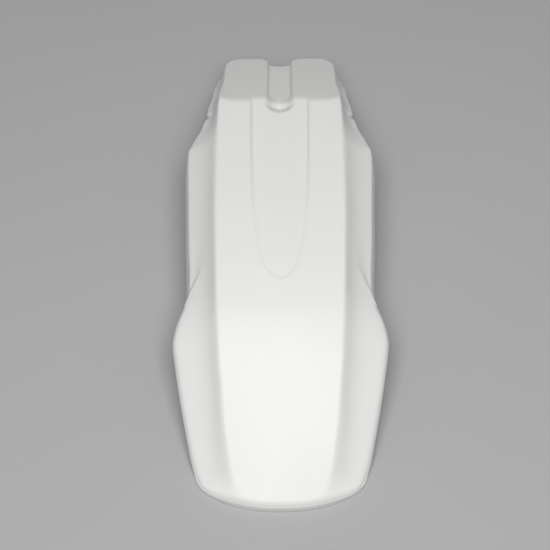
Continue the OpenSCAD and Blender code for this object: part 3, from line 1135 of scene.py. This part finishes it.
@dataclass(frozen=True)
class WhiteMoulding:
    """Self-coloured white polypropylene: silky on top, duller below, a little worn at rims."""

    colour: Triple = (0.880, 0.876, 0.862)
    drift_colour: Triple = (0.862, 0.856, 0.838)
    rim_colour: Triple = (0.845, 0.838, 0.815)
    # Painted shade colour for the panel lines.
    panel_shade_colour: Triple = (0.832, 0.828, 0.814)
    under_colour: Triple = (0.800, 0.795, 0.780)
    drift_range: Pair = (0.35, 0.7)
    rim_range: Pair = (0.35, 1.0)
    rim_share: float = 0.7
    scuffs: float = 0.35
    scuffs_at_rim: float = 0.5
    scuff_share: float = 0.18
    roughness: float = 0.36
    drift_roughness: float = 0.07
    scuff_roughness: float = 0.18
    slope_roughness: float = 0.05
    under_roughness: float = 0.58
    ior: float = 1.49
    scatter: float = 0.05
    scatter_radius: Triple = (1.0, 0.9, 0.8)
    scatter_scale: float = 2.5 * MM
    grain_strength: float = 0.25
    grain_depth: float = 0.035 * MM
    scuff_depth: float = 0.8

    def material(self, grain: bpy.types.NodeTree, scuffs: bpy.types.NodeTree) -> bpy.types.Material:
        """Build the material.

        Args:
            grain: Node group of the moulded grain.
            scuffs: Node group of the hairline scuffs.

        Returns:
            A material whose colour, roughness and normal change over the surface.
        """
        mat = bpy.data.materials.new("white_moulding")
        mat.use_nodes = True
        mat.node_tree.nodes.clear()
        pen = NodePen(mat.node_tree)
        place = pen.add("ShaderNodeTexCoord").outputs["Object"]
        rim, slope, panel_shade, under = (
            pen.add("ShaderNodeAttribute", attribute_name=mask.value).outputs["Fac"]
            for mask in (Mask.RIM, Mask.SLOPE, Mask.PANEL_SHADE, Mask.UNDER))
        moulded = pen.add("ShaderNodeGroup", node_tree=grain)
        pen.give(place, moulded.inputs["Vector"])
        hair = pen.add("ShaderNodeGroup", node_tree=scuffs)
        pen.give(place, hair.inputs["Vector"])
        amount = pen.math("ADD", pen.math("MULTIPLY", rim, self.scuffs_at_rim), self.scuffs)
        pen.give(amount, hair.inputs["Amount"])
        hair = hair.outputs["Mask"]
        drift = pen.remap(moulded.outputs["Drift"], *self.drift_range)
        worn = pen.math("MULTIPLY", pen.remap(rim, *self.rim_range), self.rim_share)
        scuffed = pen.math("MULTIPLY", hair, self.scuff_share)
        tone = pen.mix(drift, self.colour, self.drift_colour)
        # Rim and scuff mixes are wear, the panel line mix is painted shade, then the underside's
        # tone.
        for share, colour in ((worn, self.rim_colour), (scuffed, self.rim_colour),
                              (panel_shade, self.panel_shade_colour), (under, self.under_colour)):
            tone = pen.mix(share, tone, colour)
        rough = pen.math("ADD", pen.math("MULTIPLY", drift, self.drift_roughness), self.roughness)
        for share, gain in ((hair, self.scuff_roughness), (slope, self.slope_roughness)):
            rough = pen.math("ADD", rough, pen.math("MULTIPLY", share, gain))
        dull = pen.math("MULTIPLY", under, self.under_roughness - self.roughness)
        rough = pen.math("ADD", rough, dull, clamp=True)
        height = pen.math("SUBTRACT", moulded.outputs["Height"],
                          pen.math("MULTIPLY", hair, self.scuff_depth))
        height = pen.math("MULTIPLY", height, pen.math("ADD", under, 1.0))
        bump = pen.add("ShaderNodeBump", {
            "Strength": self.grain_strength, "Distance": self.grain_depth, "Height": height})
        skin = pen.add("ShaderNodeBsdfPrincipled", {
            "Base Color": tone, "Roughness": rough, "Normal": bump.outputs[0], "IOR": self.ior,
            "Subsurface Weight": self.scatter, "Subsurface Radius": self.scatter_radius,
            "Subsurface Scale": self.scatter_scale})
        pen.add("ShaderNodeOutputMaterial", {"Surface": skin.outputs[0]})
        return mat


# The studio


@dataclass(frozen=True)
class Studio:
    """Pale floor, one broad soft lamp ahead of the zenith, a faint even fill and the camera."""

    # Camera, its angles in degrees
    aim: Triple = (0.0, -0.0504, 0.0586)
    elevation: float = 55.6
    distance: float = 1.1925
    focal_px: float = 1261.0
    centre_px: Pair = (280.45, 275.8)
    roll: float = -0.25
    sensor: float = 36.0
    clip_range: Pair = (0.05, 50.0)
    # Light
    lamp_tilt: float = 22.0
    lamp_distance: float = 2.2
    lamp_side: float = 2.0
    lamp_power: float = 46.0
    fill: float = 0.12
    fill_colour: Triple = (1.0, 1.0, 1.0)
    # Floor, and the plain tone that it fades to far away
    floor_colour: Triple = (0.47, 0.47, 0.475)
    floor_drift: float = 0.97
    floor_drift_size: float = 6.0
    floor_roughness: float = 0.85
    floor_side: float = 12.0
    far_colour: Triple = (0.42, 0.42, 0.425)
    far_range: Pair = (0.7, 2.2)

    @staticmethod
    def _turned(away: Vector) -> Matrix:
        """Turn of a lamp or camera that looks back along a direction."""
        return away.to_track_quat("Z", "Y").to_matrix().to_4x4()

    def camera(self) -> bpy.types.Object:
        """Camera at the photograph's angle, ahead of the nose and looking down on it.

        Returns:
            The scene's camera.
        """
        data = bpy.data.cameras.new("camera")
        data.sensor_width = self.sensor
        data.sensor_fit = "HORIZONTAL"
        data.lens = self.focal_px / IMAGE_SIDE * data.sensor_width
        data.shift_x = (IMAGE_SIDE / 2.0 - self.centre_px[0]) / IMAGE_SIDE
        data.shift_y = (self.centre_px[1] - IMAGE_SIDE / 2.0) / IMAGE_SIDE
        data.clip_start, data.clip_end = self.clip_range
        cam = add_object("camera", data)
        e = math.radians(self.elevation)
        away = Vector((0.0, -math.cos(e), math.sin(e)))
        spot = Matrix.Translation(Vector(self.aim) + self.distance * away)
        roll = Matrix.Rotation(math.radians(self.roll), 4, "Z")
        cam.matrix_world = spot @ self._turned(away) @ roll
        bpy.context.scene.camera = cam
        return cam

    def lamp(self) -> bpy.types.Object:
        """Broad square lamp, tilted from the zenith towards the camera's side.

        Returns:
            The lamp.
        """
        data = bpy.data.lights.new("soft_lamp", "AREA")
        data.shape = "SQUARE"
        data.size = self.lamp_side
        data.energy = self.lamp_power
        lamp = add_object("soft_lamp", data)
        t = math.radians(self.lamp_tilt)
        away = Vector((0.0, -math.sin(t), math.cos(t)))
        lamp.matrix_world = Matrix.Translation(self.lamp_distance * away) @ self._turned(away)
        return lamp

    @staticmethod
    def _seen(pen: NodePen) -> Socket:
        """Find the rays that show the backdrop.

        Args:
            pen: Pen of the world's or floor's tree.

        Returns:
            1 for a ray from the eye, a reflection or a clear body, else 0.
        """
        rays = pen.add("ShaderNodeLightPath").outputs
        seen = pen.math("ADD", rays["Is Camera Ray"], rays["Is Glossy Ray"], clamp=True)
        return pen.math("ADD", seen, rays["Is Transmission Ray"], clamp=True)

    def world(self) -> None:
        """Even white fill from all round, which looks as pale as the far floor."""
        world = bpy.data.worlds.new("fill")
        world.use_nodes = True
        world.node_tree.nodes.clear()
        pen = NodePen(world.node_tree)
        fill, far = (pen.add("ShaderNodeBackground", {"Color": colour, "Strength": strength})
                     for colour, strength in ((self.fill_colour, self.fill),
                                              (self.far_colour, 1.0)))
        both = pen.add("ShaderNodeMixShader", {
            0: self._seen(pen), 1: fill.outputs[0], 2: far.outputs[0]})
        pen.add("ShaderNodeOutputWorld", {"Surface": both.outputs[0]})
        bpy.context.scene.world = world

    def _floor_finish(self) -> bpy.types.Material:
        """Matt floor with a faint drift of tone.

        Far from the middle it fades to a plain pale tone, and the eye sees through it from below.

        Returns:
            The material.
        """
        mat = bpy.data.materials.new("pale_floor")
        mat.use_nodes = True
        mat.node_tree.nodes.clear()
        pen = NodePen(mat.node_tree)
        place = pen.add("ShaderNodeTexCoord").outputs["Object"]
        noise = pen.noise(place, self.floor_drift_size, detail=3.0, roughness=0.5)
        faint = tuple(self.floor_drift * part for part in self.floor_colour)
        tone = pen.mix(noise, self.floor_colour, faint)
        skin = pen.add("ShaderNodeBsdfPrincipled", {
            "Base Color": tone, "Roughness": self.floor_roughness})
        away = pen.add("ShaderNodeVectorMath", {0: place}, operation="LENGTH").outputs["Value"]
        far = pen.math("MULTIPLY", pen.remap(away, *self.far_range), self._seen(pen))
        plain = pen.add("ShaderNodeEmission", {"Color": self.far_colour})
        top = pen.add("ShaderNodeMixShader", {0: far, 1: skin.outputs[0], 2: plain.outputs[0]})
        below = pen.math("MULTIPLY", pen.add("ShaderNodeNewGeometry").outputs["Backfacing"],
                         pen.add("ShaderNodeLightPath").outputs["Is Camera Ray"])
        clear = pen.add("ShaderNodeBsdfTransparent")
        both = pen.add("ShaderNodeMixShader", {0: below, 1: top.outputs[0], 2: clear.outputs[0]})
        pen.add("ShaderNodeOutputMaterial", {"Surface": both.outputs[0]})
        return mat

    def floor(self) -> bpy.types.Object:
        """Plain floor under the rest plane.

        Returns:
            The floor.
        """
        half = self.floor_side / 2.0
        corners = [(-half, -half, 0.0), (half, -half, 0.0), (half, half, 0.0), (-half, half, 0.0)]
        mesh = bpy.data.meshes.new("floor")
        mesh.from_pydata(corners, [], [(0, 1, 2, 3)])
        mesh.materials.append(self._floor_finish())
        floor = add_object("floor", mesh)
        return floor

    def build(self) -> None:
        """Set up the floor, the light and the camera."""
        bpy.context.scene.view_settings.view_transform = "Standard"
        self.world()
        self.floor()
        self.lamp()
        self.camera()


@dataclass
class Fender:
    """The one-piece fender: its mesh and its finish."""

    form: FenderForm = field(default_factory=FenderForm)
    grain: MouldedGrain = field(default_factory=MouldedGrain)
    scuffs: HairlineScuffs = field(default_factory=HairlineScuffs)
    finish: WhiteMoulding = field(default_factory=WhiteMoulding)

    def build(self) -> bpy.types.Object:
        """Make the shell, dress it and let it stand for the solid.

        Returns:
            The shell.
        """
        shell = ShellMesh(self.form).build("fender_skin")
        finish = self.finish.material(self.grain.group(), self.scuffs.group())
        shell.data.materials.append(finish)
        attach(shell, "root")
        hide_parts("fender_shell")
        LOG.info("fender_skin: %d faces", len(shell.data.polygons))
        return shell


def main() -> None:
    """Build the studio and the fender."""
    logging.basicConfig(level=logging.INFO, format="%(name)s: %(message)s")
    Studio().build()
    Fender().build()


if __name__ == "__main__":
    main()
